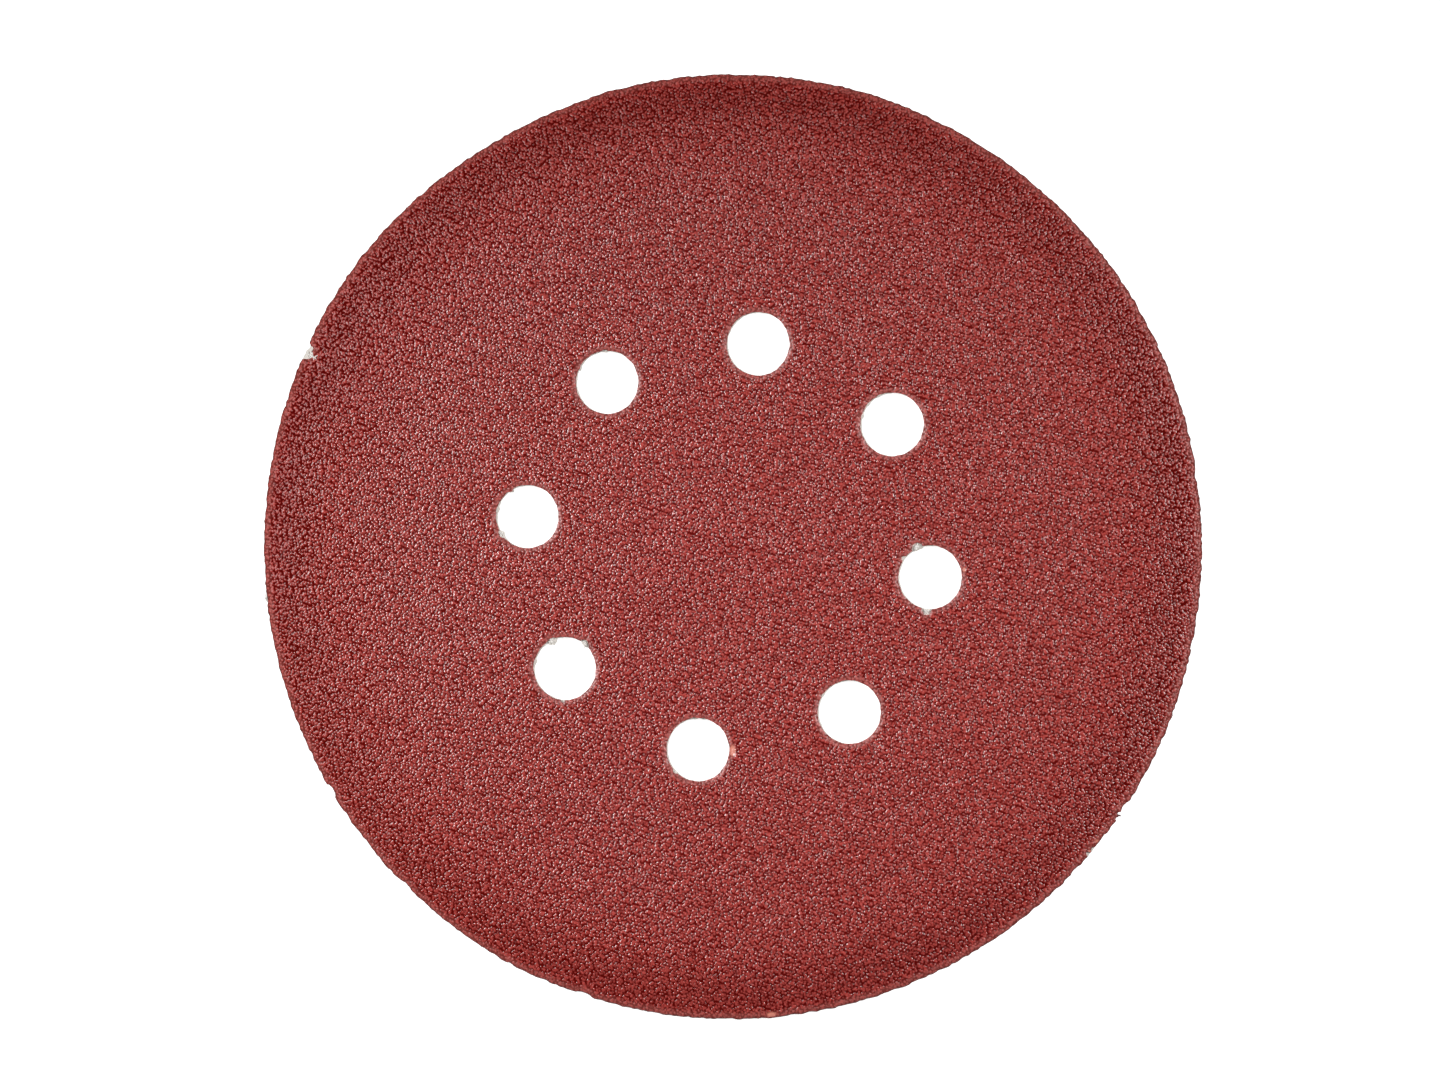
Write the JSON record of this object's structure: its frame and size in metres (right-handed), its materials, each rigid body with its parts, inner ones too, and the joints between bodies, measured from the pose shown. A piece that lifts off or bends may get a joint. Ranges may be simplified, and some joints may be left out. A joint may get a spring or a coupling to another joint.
{
  "type": "self-adhesive sanding disc",
  "caption": "Round coated-abrasive disc with a ring of dust holes: red grain on heavy paper, rim turned slightly down, flat adhesive back that sticks to a sander's pad.",
  "frame": {"origin": "middle of the disc, on the surface that the lowest edge of its rim rests on", "axes": "+Z out of the grain side, +X to the right of the picture, +Y to its top"},
  "size_m": [0.15, 0.15, 0.0022],
  "materials": {
    "coated_abrasive": "coarse red grain in a satin resin on the face, pale paper at the cut edge and back"
  },
  "bodies": {
    "root": {"sanding_disc": "coated_abrasive"}
  },
  "joints": []
}
